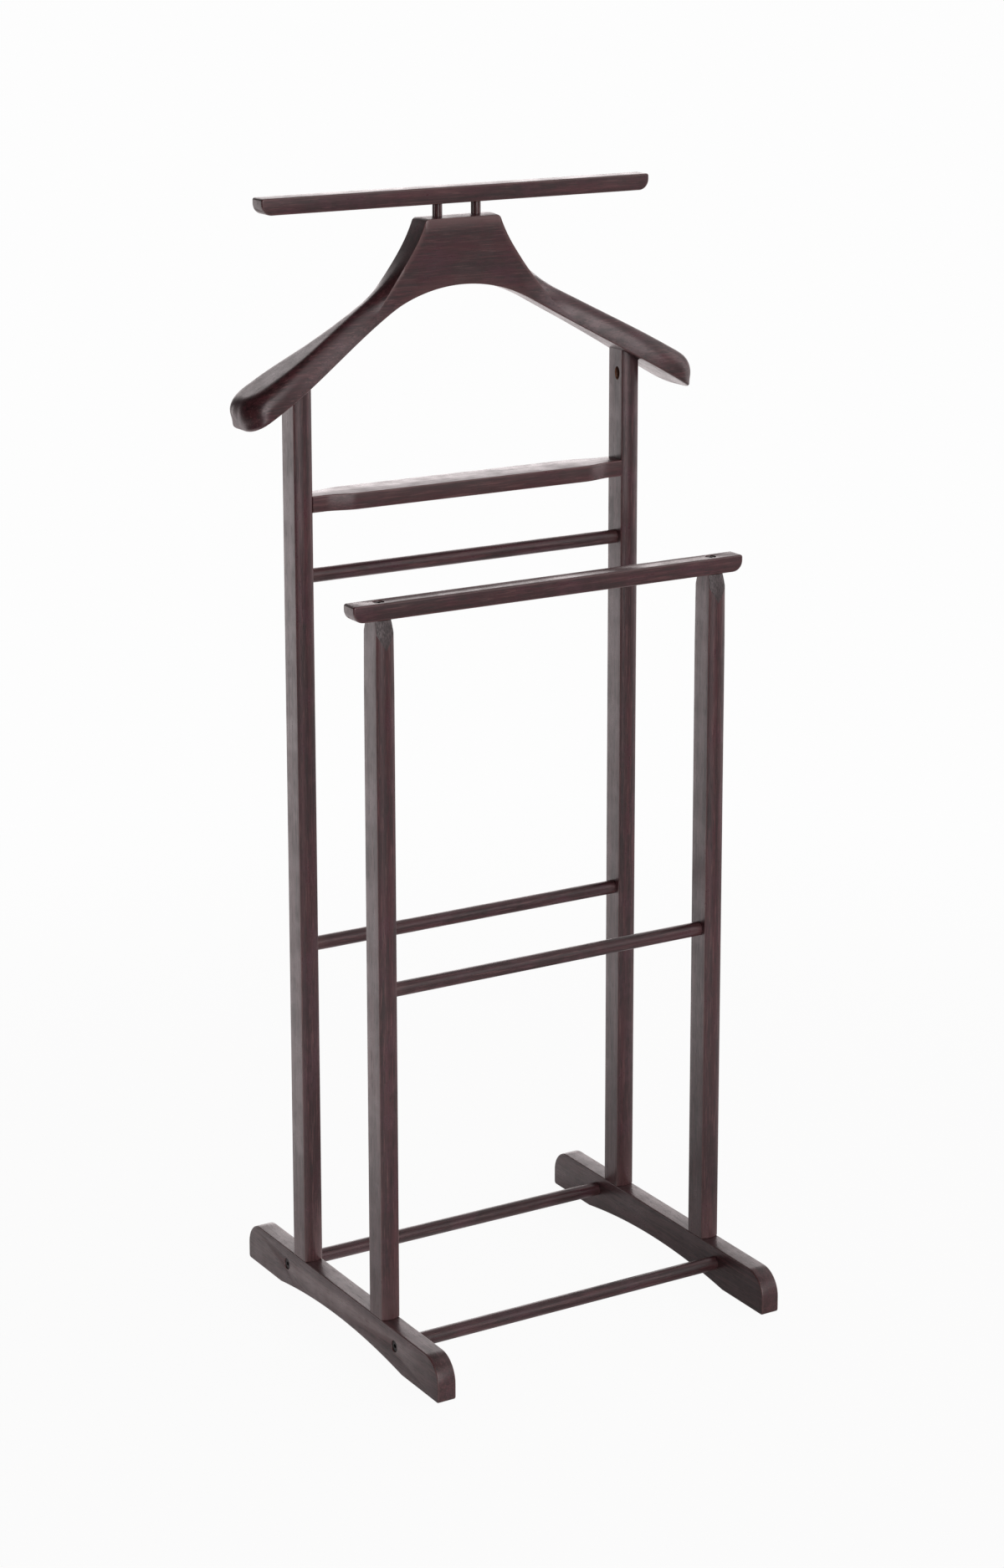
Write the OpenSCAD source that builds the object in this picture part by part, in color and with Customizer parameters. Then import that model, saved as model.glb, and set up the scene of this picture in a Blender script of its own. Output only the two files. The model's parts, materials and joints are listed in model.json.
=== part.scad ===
// Valet stand in solid wood, built up from separate pieces as it comes apart on a bench.
// The origin is on the floor under the middle of the base. X runs across the stand,
// Y from the front frame towards the back frame, and Z upwards. All sizes are in millimetres.

/* [Overall] */
// Overall height, to the top of the top bar
total_h = 1020; // [990:5:1060]
// Height of the front frame, to the top of its bar
front_h = 690; // [650:5:720]
// Width of the base, over the outer faces of the feet
base_w = 360; // [350:2:370]
// Depth of the base, which is the length of a foot
base_d = 360; // [340:5:400]

/* [Feet and posts] */
// Thickness of a foot, and of the posts that stand flush on it
frame_t = 18; // [16:0.5:20]
// Height of a foot
foot_h = 38; // [36:1:46]
// Height of the shallow arch under a foot
foot_arch_h = 9; // [6:1:12]
// Length of the flat pad at each end of a foot
foot_pad_l = 65; // [50:1:75]
// Radius of the upper corner at each end of a foot
toe_r = 24; // [12:1:26]
// Depth of a post, front to back
post_d = 27; // [26:1:30]
// Rise of the rounded front and back faces of a post
post_crown = 2.5; // [1:0.5:4]
// Middle of the back posts, behind the middle of the base
back_y = 76; // [72:1:78]
// Middle of the front posts, in front of the middle of the base
front_y = 69.5; // [66:0.5:74]
// Height over which a front post narrows below its bar
taper_h = 26; // [18:1:32]

/* [Hanger] */
// Width of the hanger, tip to tip
hanger_w = 470; // [464:2:476]
// Thickness of the hanger at its neck
neck_t = 25; // [24:1:28]
// Middle of the hanger's neck, behind the middle of the base
neck_y = 89; // [88:0.5:91]
// Height of the neck, from the crown of the arch under it to its top
neck_h = 61.5; // [58:0.5:66]
// Radius of the arch under the neck
arch_r = 145; // [140:1:150]
// Radius of the hollow that runs from the side of the neck into the arm
hollow_r = 135; // [131:1:143]
// Slope of the underside of an arm
under_a = 30.3; // [29.8:0.1:30.8]
// Slope of the upper face of an arm
over_a = 28.8; // [28.4:0.1:29.2]
// Depth of an arm near its tip, front to back
arm_d = 54; // [50:1:56]

/* [Bars, tray and rods] */
// Length of the top bar and of the front bar
bar_l = 400; // [390:5:410]
// Height of a bar
bar_h = 15; // [14:0.5:18]
// Depth of a bar, front to back
bar_d = 19; // [18:0.5:22]
// Gap between the neck of the hanger and the top bar
bar_gap = 11.5; // [8:0.5:14]
// Height of the upper face of the tray
tray_z = 757; // [740:1:770]
// Thickness of the tray
tray_t = 15; // [14:0.5:18]
// Depth of the tray between its narrow ends
tray_d = 36; // [34:1:40]
// Diameter of the rods
rod_dia = 13; // [12:0.5:14]
// Height of the axis of the upper back rod
upper_rod_z = 683; // [670:1:700]
// Height of the axes of the two middle rods
mid_rod_z = 340; // [300:5:420]
// Height of the axes of the two bottom rods
low_rod_z = 22.4; // [21:0.2:24]
// Distance of the bottom rods in front of and behind the middle of the base
low_rod_y = 102; // [98:1:106]

/* [Hidden] */
$fn = 96;
eps = 1;                            // overshoot of a cutter past the face that it opens

lacquer = [0.22, 0.16, 0.15];
bare_wood = [0.62, 0.42, 0.30];
black_steel = [0.12, 0.12, 0.12];

// Feet and posts
inner_x = base_w / 2 - frame_t;     // inner faces of the feet and posts
post_x = base_w / 2 - frame_t / 2;  // middle of the feet and posts
heel_r = 3;                         // lower corner at each end of a foot
arch_half = base_d / 2 - foot_pad_l;
foot_arch_r = (arch_half * arch_half + foot_arch_h * foot_arch_h) / (2 * foot_arch_h);
crown_r = (frame_t * frame_t / 4 + post_crown * post_crown) / (2 * post_crown);
front_post_top = front_h - bar_h;
taper_in = (post_d - bar_d) / 2;    // a front post narrows to the depth of its bar
taper_r = (taper_h * taper_h + taper_in * taper_in) / (2 * taper_in);
function foot_arch_z(y) = foot_arch_h - foot_arch_r + sqrt(foot_arch_r * foot_arch_r - y * y);

// Hanger, seen from the front: half outline for x >= 0
neck_top = total_h - bar_h - bar_gap;
crown_z = neck_top - neck_h;                    // crown of the arch under the neck
spring_x = arch_r * sin(under_a);               // where the arch runs into an arm
spring_z = crown_z - arch_r * (1 - cos(under_a));
over_drop = 17.5;                   // from the neck's top to the arms' upper faces, at x = 0
tip_r = 10;                         // upper corner of a tip
tip_lean = 4.5;                     // how far a tip leans outwards from its lower corner
neck_foot_x = 100;                  // where the hollow runs into the arm's upper face
function under_z(x) = spring_z - (x - spring_x) * tan(under_a);
function over_z(x) = neck_top - over_drop - x * tan(over_a);
hollow_c = [neck_foot_x + hollow_r * sin(over_a), over_z(neck_foot_x) + hollow_r * cos(over_a)];
tip_c = [hanger_w / 2 - tip_r, over_z(hanger_w / 2 - tip_r) - tip_r / cos(over_a)];
tip_low_x = hanger_w / 2 - tip_lean;

// Hanger, seen from above: the arms sweep forwards from the neck and widen to their tips
neck_front = neck_y - neck_t / 2;
neck_back = neck_y + neck_t / 2;
arm_front = 42.5;                   // front of an arm near its tip
arm_back = arm_front + arm_d;
waist_back = 90;                    // back of an arm where it is narrowest
front_sweep = [64, 214];            // x over which the front swings forwards
back_sweep = [50, 135];             // x over which the back swings forwards
back_flare = [150, 205];            // x over which the back swings out again
tip_plan_r = 20;                    // corners of a tip seen from above
function ease(t) = t <= 0 ? 0 : t >= 1 ? 1 : t * t * (3 - 2 * t);
function over(x, span) = ease((x - span[0]) / (span[1] - span[0]));
function front_edge(x) = neck_front - (neck_front - arm_front) * over(x, front_sweep);
function back_edge(x) = neck_back - (neck_back - waist_back) * over(x, back_sweep)
  + (arm_back - waist_back) * over(x, back_flare);

// Bars and tray
bar_end_r = 10;                     // lower corner at each end of a bar
bar_top_r = 2;                      // upper corner at each end of a bar
bar_edge_r = 2;                     // long edges of a bar
tray_end_d = 24;                    // depth of the narrow ends that meet the posts
tray_flat = 120;                    // half length of the full depth
tray_narrow = 150;                  // half length up to the narrow ends
tray_steps = 12;

// Joints
rod_socket = 9;                     // depth of a rod's socket in a post
foot_socket = 6;                    // depth of a rod's socket in a foot
joint_pitch = 12;                   // from a post's screw to its dowel
post_dowel = [8, 30];               // diameter and length
tray_dowel = [6, 24];
tray_dowel_pitch = 13;
tray_socket = 10;                   // depth of a tray dowel's socket in a post
top_dowel = [9, 40];
top_dowel_pitch = 40;
top_socket = 9;                     // depth of a top dowel's socket in the top bar
flutes = 12;
flute_r = 0.9;

// Screws: [head diameter, head height, shank diameter, shank length]
foot_bolt = [9.4, 4, 5, 40];
bar_screw = [9.4, 3, 4.5, 40];
post_screw = [8.4, 4, 5, 46];
hanger_screw = [7.4, 3, 4, 26];
head_gap = 0.6;                     // from a head's diameter to its recess's
bolt_sink = 5;                      // depth of a head's seat below the outer face of a foot
bar_sink = 4;                       // and below the top of the front bar
post_sink = 9;                      // and above the arch under a foot
key_across = 4;                     // across the corners of a head's hexagon socket
key_depth = 2;
pocket_z = 838;                     // where a hanger screw's axis crosses a post's inner face
pocket_y = 73;
pocket_a = 40;                      // slope of that axis, away from the vertical
pocket_depth = 10;                  // along the axis, from the inner face to the head's seat

function arc(c, r, a0, a1, n) =
  [for (i = [0:n]) let (a = a0 + (a1 - a0) * i / n) [c[0] + r * cos(a), c[1] + r * sin(a)]];
function flip_x(points) = [for (i = [len(points) - 1:-1:0]) [-points[i][0], points[i][1]]];

// Stands up a shape drawn in the Y-Z plane, or in the X-Z plane, centred on its length
module along_x(length) rotate([90, 0, 90]) linear_extrude(length, center = true) children();
module along_y(length) rotate([90, 0, 0]) linear_extrude(length, center = true) children();

module x_rod(at, dia, length) translate(at) rotate([0, 90, 0])
  cylinder(d = dia, h = length, center = true);
module z_rod(at, dia, length) translate(at) cylinder(d = dia, h = length);
module mirrored() for (side = [0, 1]) mirror([side, 0, 0]) children();

// A screw pointing up, with the seat of its head at the origin
module screw(spec) {
  difference() {
    union() {
      translate([0, 0, -spec[1]]) cylinder(d = spec[0], h = spec[1]);
      translate([0, 0, -spec[1] / 2]) cylinder(d = spec[2], h = spec[3] + spec[1] / 2);
    }
    translate([0, 0, -spec[1] - eps]) cylinder(d = key_across, h = key_depth + eps, $fn = 6);
  }
}

// The hole for it, with the recess of its head open for a length below the seat
module screw_hole(spec, open) {
  if (open > 0) translate([0, 0, -open]) cylinder(d = spec[0] + head_gap, h = open);
  translate([0, 0, -eps]) cylinder(d = spec[2], h = spec[3] + eps);
}

module at_foot_bolt(y) translate([base_w / 2 - bolt_sink, y, low_rod_z]) rotate([0, -90, 0])
  children();
module at_post_screw(y) let (screw_y = y - joint_pitch / 2)
  translate([post_x, screw_y, foot_arch_z(screw_y) + post_sink]) children();
module at_post_dowel(y) translate([post_x, y + joint_pitch / 2, foot_h - post_dowel[1] / 2])
  children();
module at_bar_screw() translate([post_x, -front_y, front_h - bar_sink]) mirror([0, 0, 1])
  children();
module at_hanger_screw() translate([inner_x, pocket_y, pocket_z]) rotate([0, pocket_a, 0])
  translate([0, 0, pocket_depth]) children();

// ---- Feet ----------------------------------------------------------------

module foot_outline() {
  half = base_d / 2;
  difference() {
    union() {
      translate([-half + toe_r, 0]) square([base_d - 2 * toe_r, foot_h]);
      translate([-half, heel_r]) square([base_d, foot_h - toe_r - heel_r]);
      translate([-half + heel_r, 0]) square([base_d - 2 * heel_r, foot_h - toe_r]);
      for (end = [-1, 1]) {
        intersection() {
          translate([end * (half - toe_r), foot_h - toe_r]) circle(toe_r);
          translate([-half, foot_h - toe_r]) square([base_d, toe_r]);
        }
        translate([end * (half - heel_r), heel_r]) circle(heel_r);
      }
    }
    translate([0, foot_arch_h - foot_arch_r]) circle(foot_arch_r, $fn = 720);
  }
}

module foot() {
  difference() {
    translate([post_x, 0, 0]) along_x(frame_t) foot_outline();
    for (y = [-low_rod_y, low_rod_y]) {
      x_rod([inner_x, y, low_rod_z], rod_dia, 2 * foot_socket);
      at_foot_bolt(y) screw_hole(foot_bolt, bolt_sink + eps);
    }
    for (y = [-front_y, back_y]) {
      at_post_screw(y) screw_hole(post_screw, foot_h);
      at_post_dowel(y) cylinder(d = post_dowel[0], h = post_dowel[1]);
    }
  }
}

module foot_right() color(lacquer) foot();
module foot_left() color(lacquer) mirror([1, 0, 0]) foot();

// ---- Posts ---------------------------------------------------------------

// Flat sides, rounded front and back
module post_section() {
  intersection() {
    square([frame_t, post_d], center = true);
    for (face = [-1, 1]) translate([0, face * (crown_r - post_d / 2)]) circle(crown_r);
  }
}

module post_holes(y) {
  x_rod([inner_x, y, mid_rod_z], rod_dia, 2 * rod_socket);
  at_post_screw(y) screw_hole(post_screw, foot_h);
  at_post_dowel(y) cylinder(d = post_dowel[0], h = post_dowel[1]);
}

// The top is mitred to the underside of the hanger's arm
module back_post() {
  difference() {
    intersection() {
      translate([post_x, back_y, foot_h]) linear_extrude(neck_top) post_section();
      translate([0, back_y, 0]) along_y(2 * post_d) polygon([
        [0, 0], [base_w, 0], [base_w, under_z(base_w)], [spring_x, spring_z], [0, spring_z]
      ]);
    }
    post_holes(back_y);
    x_rod([inner_x, back_y, upper_rod_z], rod_dia, 2 * rod_socket);
    for (side = [-1, 1])
      x_rod([inner_x, back_y + side * tray_dowel_pitch / 2, tray_z - tray_t / 2],
        tray_dowel[0], 2 * tray_socket);
    at_hanger_screw() screw_hole(hanger_screw, 2 * pocket_depth);
  }
}

// The top narrows in two long curves to the depth of the front bar
module front_post_outline() {
  square([2 * post_d, 2 * (front_post_top - taper_h)], center = true);
  intersection() {
    translate([-post_d, 0]) square([2 * post_d, front_post_top]);
    for (face = [-1, 1])
      translate([face * (taper_r - post_d / 2), front_post_top - taper_h])
        circle(taper_r, $fn = 360);
  }
}

module front_post() {
  difference() {
    intersection() {
      translate([post_x, -front_y, foot_h])
        linear_extrude(front_post_top - foot_h) post_section();
      translate([post_x, -front_y, 0]) along_x(2 * frame_t) front_post_outline();
    }
    post_holes(-front_y);
    at_bar_screw() screw_hole(bar_screw, 0);
  }
}

module back_post_right() color(lacquer) back_post();
module back_post_left() color(lacquer) mirror([1, 0, 0]) back_post();
module front_post_right() color(lacquer) front_post();
module front_post_left() color(lacquer) mirror([1, 0, 0]) front_post();

// ---- Hanger --------------------------------------------------------------

module hanger_front() {
  right = concat(
    arc([0, crown_z - arch_r], arch_r, 90, 90 - under_a, 12),
    [[tip_low_x, under_z(tip_low_x)]],
    arc(tip_c, tip_r, 0, 90 - over_a, 6),
    arc(hollow_c, hollow_r, 270 - over_a, 180 + asin((hollow_c[1] - neck_top) / hollow_r), 14));
  polygon(concat(right, [for (p = flip_x(right)) if (p[0] < 0) p]));
}

module hanger_plan() {
  tip_x = hanger_w / 2;
  corner_x = tip_x - tip_plan_r;
  step = 7;
  right = concat(
    [for (x = [0:step:corner_x - step]) [x, front_edge(x)]],
    arc([corner_x, arm_front + tip_plan_r], tip_plan_r, -90, 0, 8),
    arc([corner_x, arm_back - tip_plan_r], tip_plan_r, 0, 90, 8),
    [for (x = [corner_x - step:-step:step]) [x, back_edge(x)]]);
  polygon(concat(right, [[0, neck_back]], [for (p = flip_x(right)) if (p[0] < 0) p]));
}

module top_dowel_sockets() for (side = [-1, 1])
  z_rod([side * top_dowel_pitch / 2, neck_y, total_h - bar_h + top_socket - top_dowel[1]],
    top_dowel[0], top_dowel[1]);

module hanger() color(lacquer) {
  difference() {
    intersection() {
      translate([0, neck_y, 0]) along_y(4 * arm_d) hanger_front();
      translate([0, 0, crown_z - hanger_w / 2]) linear_extrude(hanger_w) hanger_plan();
    }
    mirrored() at_hanger_screw() screw_hole(hanger_screw, 0);
    top_dowel_sockets();
  }
}

// ---- Bars ----------------------------------------------------------------

// Seen from the front: the lower corners of both ends are cut to a large round
module bar_outline() {
  half = bar_l / 2;
  translate([-half + bar_end_r, 0]) square([bar_l - 2 * bar_end_r, bar_h]);
  translate([-half, bar_end_r]) square([bar_l, bar_h - bar_end_r - bar_top_r]);
  translate([-half + bar_top_r, bar_end_r]) square([bar_l - 2 * bar_top_r, bar_h - bar_end_r]);
  for (end = [-1, 1]) {
    translate([end * (half - bar_end_r), bar_end_r]) circle(bar_end_r);
    translate([end * (half - bar_top_r), bar_h - bar_top_r]) circle(bar_top_r);
  }
}

module bar_section() {
  translate([-bar_d / 2, bar_edge_r]) square([bar_d, bar_h - 2 * bar_edge_r]);
  translate([-bar_d / 2 + bar_edge_r, 0]) square([bar_d - 2 * bar_edge_r, bar_h]);
  for (y = [-1, 1], z = [bar_edge_r, bar_h - bar_edge_r])
    translate([y * (bar_d / 2 - bar_edge_r), z]) circle(bar_edge_r);
}

module bar() {
  intersection() {
    along_y(bar_d) bar_outline();
    along_x(bar_l) bar_section();
  }
}

module top_bar() color(lacquer) {
  difference() {
    translate([0, neck_y, total_h - bar_h]) bar();
    top_dowel_sockets();
  }
}

module front_bar() color(lacquer) {
  difference() {
    translate([0, -front_y, front_post_top]) bar();
    mirrored() at_bar_screw() screw_hole(bar_screw, bar_sink + eps);
  }
}

// Two fluted dowels carry the top bar clear of the hanger
module top_bar_dowels() color(lacquer) {
  difference() {
    top_dowel_sockets();
    for (side = [-1, 1], i = [0:flutes - 1])
      translate([side * top_dowel_pitch / 2, neck_y, neck_top]) rotate(i * 360 / flutes)
        translate([(top_dowel[0] + flute_r) / 2, 0, 0])
          cylinder(r = flute_r, h = 2 * top_dowel[1], center = true, $fn = 24);
  }
}

// ---- Tray ----------------------------------------------------------------

function tray_half(x) = (tray_d - (tray_d - tray_end_d)
  * over(x, [tray_flat, tray_narrow])) / 2;

module tray_plan() {
  step = (tray_narrow - tray_flat) / tray_steps;
  curve = [for (i = [0:tray_steps]) let (x = tray_flat + i * step) [x, -tray_half(x)]];
  front = concat(flip_x(curve), curve);
  polygon(concat([[-inner_x, -tray_end_d / 2]], front, [[inner_x, -tray_end_d / 2],
    [inner_x, tray_end_d / 2]], [for (p = front) [-p[0], -p[1]]],
    [[-inner_x, tray_end_d / 2]]));
}

module tray_dowel_rods() mirrored() for (side = [-1, 1])
  x_rod([inner_x + tray_socket - tray_dowel[1] / 2, back_y + side * tray_dowel_pitch / 2,
    tray_z - tray_t / 2], tray_dowel[0], tray_dowel[1]);

module tray() color(lacquer) {
  difference() {
    translate([0, back_y, tray_z - tray_t]) linear_extrude(tray_t) tray_plan();
    tray_dowel_rods();
  }
}

module tray_dowels() color(bare_wood) tray_dowel_rods();

// ---- Rods ----------------------------------------------------------------

module blind_rod(y, z) color(lacquer)
  x_rod([0, y, z], rod_dia, 2 * (inner_x + rod_socket));

module bolted_rod(y) color(lacquer) {
  difference() {
    x_rod([0, y, low_rod_z], rod_dia, 2 * (inner_x + foot_socket));
    mirrored() at_foot_bolt(y) screw_hole(foot_bolt, 0);
  }
}

module upper_back_rod() blind_rod(back_y, upper_rod_z);
module mid_back_rod() blind_rod(back_y, mid_rod_z);
module mid_front_rod() blind_rod(-front_y, mid_rod_z);
module bottom_back_rod() bolted_rod(low_rod_y);
module bottom_front_rod() bolted_rod(-low_rod_y);

// ---- Fasteners -----------------------------------------------------------

module foot_bolts() color(black_steel) mirrored() for (y = [-low_rod_y, low_rod_y])
  at_foot_bolt(y) screw(foot_bolt);

module post_screws() color(black_steel) mirrored() for (y = [-front_y, back_y])
  at_post_screw(y) screw(post_screw);

module post_dowels() color(bare_wood) mirrored() for (y = [-front_y, back_y])
  at_post_dowel(y) cylinder(d = post_dowel[0], h = post_dowel[1]);

module front_bar_screws() color(black_steel) mirrored() at_bar_screw() screw(bar_screw);

module hanger_screws() color(black_steel) mirrored() at_hanger_screw() screw(hanger_screw);

foot_left();
foot_right();
back_post_left();
back_post_right();
front_post_left();
front_post_right();
hanger();
top_bar();
top_bar_dowels();
tray();
tray_dowels();
front_bar();
front_bar_screws();
upper_back_rod();
mid_back_rod();
mid_front_rod();
bottom_back_rod();
bottom_front_rod();
foot_bolts();
post_screws();
post_dowels();
hanger_screws();
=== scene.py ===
import json
import math

import bmesh
import bpy
from mathutils import Matrix, Vector

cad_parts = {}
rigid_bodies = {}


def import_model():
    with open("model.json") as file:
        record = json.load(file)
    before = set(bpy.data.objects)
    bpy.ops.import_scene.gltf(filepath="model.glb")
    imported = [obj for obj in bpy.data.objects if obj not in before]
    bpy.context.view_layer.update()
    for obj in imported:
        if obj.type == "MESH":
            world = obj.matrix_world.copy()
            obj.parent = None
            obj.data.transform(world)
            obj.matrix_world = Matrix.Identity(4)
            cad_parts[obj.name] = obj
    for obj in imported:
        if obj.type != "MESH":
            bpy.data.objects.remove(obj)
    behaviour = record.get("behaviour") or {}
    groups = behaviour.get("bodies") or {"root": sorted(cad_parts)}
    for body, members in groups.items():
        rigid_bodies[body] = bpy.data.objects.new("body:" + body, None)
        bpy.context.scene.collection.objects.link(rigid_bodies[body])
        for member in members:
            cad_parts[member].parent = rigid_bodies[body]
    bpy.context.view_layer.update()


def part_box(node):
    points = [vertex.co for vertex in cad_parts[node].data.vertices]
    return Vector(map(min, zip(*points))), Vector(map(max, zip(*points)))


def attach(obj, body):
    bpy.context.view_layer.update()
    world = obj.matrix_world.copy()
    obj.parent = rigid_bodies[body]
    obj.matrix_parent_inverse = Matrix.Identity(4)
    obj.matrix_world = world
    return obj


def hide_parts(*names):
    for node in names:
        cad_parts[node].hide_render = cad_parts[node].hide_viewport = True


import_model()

MM = 0.001
scene = bpy.context.scene


def box(node):
    lo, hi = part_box(node)
    return lo / MM, hi / MM


def smooth(a, b, x):
    t = min(1.0, max(0.0, (x - a) / (b - a)))
    return t * t * (3 - 2 * t)


def lerp(a, b, t):
    return a + (b - a) * t


def slope_at(curve, x, step=0.05):
    return (curve(x + step) - curve(x - step)) / (2 * step)


# ---- Sizes, from the CAD parts ---------------------------------------------

foot_hi = box("foot_right")[1]
post_lo, post_hi = box("back_post_right")
fpost_lo, fpost_hi = box("front_post_right")
hang_hi = box("hanger")[1]
top_lo, top_hi = box("top_bar")
bar_lo, bar_hi = box("front_bar")
tray_lo, tray_hi = box("tray")
peg_lo, peg_hi = box("top_bar_dowels")
rod_lo, rod_hi = box("bottom_back_rod")

INNER_X, OUTER_X = post_lo.x, post_hi.x
POST_X = (INNER_X + OUTER_X) / 2
HALF_W = (OUTER_X - INNER_X) / 2
FOOT_TOP = post_lo.z
BACK_Y = (post_lo.y + post_hi.y) / 2
FRONT_Y = (fpost_lo.y + fpost_hi.y) / 2
NECK_Y = (top_lo.y + top_hi.y) / 2
NECK_TOP = hang_hi.z
LOW_ROD_Y = (rod_lo.y + rod_hi.y) / 2
LOW_ROD_Z = (rod_lo.z + rod_hi.z) / 2
TIP_ROLL = 4.2  # what its rounding takes off a tip
TIP_X = hang_hi.x + TIP_ROLL

# Shape values that a box does not give, in millimetres and radians
POST_CROWN = 2.5  # rise of a post's rounded front and back
POST_EASE = ((0, 0.5), (0.25, 0.12), (0.7, 0))  # height and inset, up from a post's foot
FOOT_ARCH_H, FOOT_PAD = 9.0, 65.0  # arch under a foot, flat at each of its ends
TOE_R, HEEL_R = 23.0, 3.0  # upper and lower corners of a foot
BAR_END_R, BAR_TOP_R = 10.0, 2.2  # lower and upper corners of a bar
RECESS_R = 5.0  # drilled recess round a bolt's or a screw's head
POCKET_Y, POCKET_Z, POCKET_A = 73.0, 838.0, math.radians(40)  # slanted hole in a back post
POCKET_R, POCKET_DEPTH = 4.0, 10.5
NECK_H, ARCH_R, HOLLOW_R = 61.5, 145.0, 135.0  # neck, arch under it, hollows beside it
NECK_CORNER_R = 4.5
UNDER_A, OVER_A = math.radians(30.3), math.radians(28.8)  # slopes of an arm
OVER_DROP, NECK_FOOT_X = 17.5, 100.0  # drop to the arms' upper faces, where these start
TIP_LEAN, TIP_PLAN_R = math.radians(24), 25.0  # slope of a tip, its corners from above
ARM_FRONT, ARM_BACK, WAIST_BACK = 42.5, 96.5, 90.0  # sides of an arm near its tip, its waist
NECK_HALF = 12.5
NECK_FRONT, NECK_BACK = NECK_Y - NECK_HALF, NECK_Y + NECK_HALF
TRAY_END, TRAY_FLAT, TRAY_NARROW = 24.0, 120.0, 150.0  # depth of its ends, where it narrows

# Distances from the hanger's middle over which its shape changes
SWEEP, WAIST, FLARE = (60, 214), (50, 135), (150, 205)  # of its sides, seen from above
TO_ARM, TO_TIP = (52, 118), (165, 222)  # of its section

CROWN_Z = NECK_TOP - NECK_H
SPRING_X = ARCH_R * math.sin(UNDER_A)
SPRING_Z = CROWN_Z - ARCH_R * (1 - math.cos(UNDER_A))


def under_z(x):
    if abs(x) < SPRING_X:
        return CROWN_Z - ARCH_R + math.sqrt(ARCH_R**2 - x * x)
    return SPRING_Z - (abs(x) - SPRING_X) * math.tan(UNDER_A)


def over_z(x):
    return NECK_TOP - OVER_DROP - x * math.tan(OVER_A)


def front_edge(x):
    return NECK_FRONT - (NECK_FRONT - ARM_FRONT) * smooth(*SWEEP, x)


def back_edge(x):
    return (
        NECK_BACK
        - (NECK_BACK - WAIST_BACK) * smooth(*WAIST, x)
        + (ARM_BACK - WAIST_BACK) * smooth(*FLARE, x)
    )


# ---- Materials -------------------------------------------------------------


class Nodes:
    """Short names for the nodes that the materials below are made of."""

    def __init__(self, name):
        self.mat = bpy.data.materials.new(name)
        self.mat.use_nodes = True
        self.tree = self.mat.node_tree
        self.shader = self.tree.nodes["Principled BSDF"]
        self.coords = self.tree.nodes.new("ShaderNodeTexCoord").outputs["Object"]

    def link(self, value, socket):
        if isinstance(value, (int, float, tuple)):
            socket.default_value = value
        else:
            self.tree.links.new(value, socket)

    def place(self, scale, shift):
        n = self.tree.nodes.new("ShaderNodeMapping")
        self.link(self.coords, n.inputs["Vector"])
        n.inputs["Scale"].default_value = scale
        n.inputs["Location"].default_value = shift
        return n.outputs["Vector"]

    def noise(self, vector, detail=3, rough=0.5, distort=0.0):
        n = self.tree.nodes.new("ShaderNodeTexNoise")
        self.link(vector, n.inputs["Vector"])
        n.inputs["Scale"].default_value = 1.0
        n.inputs["Detail"].default_value = detail
        n.inputs["Roughness"].default_value = rough
        n.inputs["Distortion"].default_value = distort
        return n.outputs["Fac"]

    def range(self, value, lo, hi, out_lo=0.0, out_hi=1.0):
        n = self.tree.nodes.new("ShaderNodeMapRange")
        n.interpolation_type = "SMOOTHSTEP"
        self.link(value, n.inputs["Value"])
        for key, v in zip(("From Min", "From Max", "To Min", "To Max"), (lo, hi, out_lo, out_hi)):
            n.inputs[key].default_value = v
        return n.outputs["Result"]

    def math(self, op, a, b):
        n = self.tree.nodes.new("ShaderNodeMath")
        n.operation = op
        self.link(a, n.inputs[0])
        self.link(b, n.inputs[1])
        return n.outputs["Value"]

    def mix(self, fac, a, b, blend="MIX"):
        n = self.tree.nodes.new("ShaderNodeMix")
        n.data_type = "RGBA"
        n.blend_type = blend
        self.link(fac, n.inputs["Factor"])
        self.link(a, n.inputs["A"])
        self.link(b, n.inputs["B"])
        return n.outputs["Result"]

    def bump(self, height, strength, distance):
        n = self.tree.nodes.new("ShaderNodeBump")
        n.inputs["Strength"].default_value = strength
        n.inputs["Distance"].default_value = distance
        self.link(height, n.inputs["Height"])
        return n.outputs["Normal"]

    def attribute(self, name):
        n = self.tree.nodes.new("ShaderNodeAttribute")
        n.attribute_name = name
        return n.outputs["Fac"]


def grain_scale(axis, across, along):
    return tuple(along if i == "XYZ".index(axis) else across for i in range(3))


def seed_shift(seed):
    """A place in the noise for each seed, so that no two pieces show the same grain."""
    return (seed * 3.1, seed * 1.7, seed * 2.3)


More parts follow.
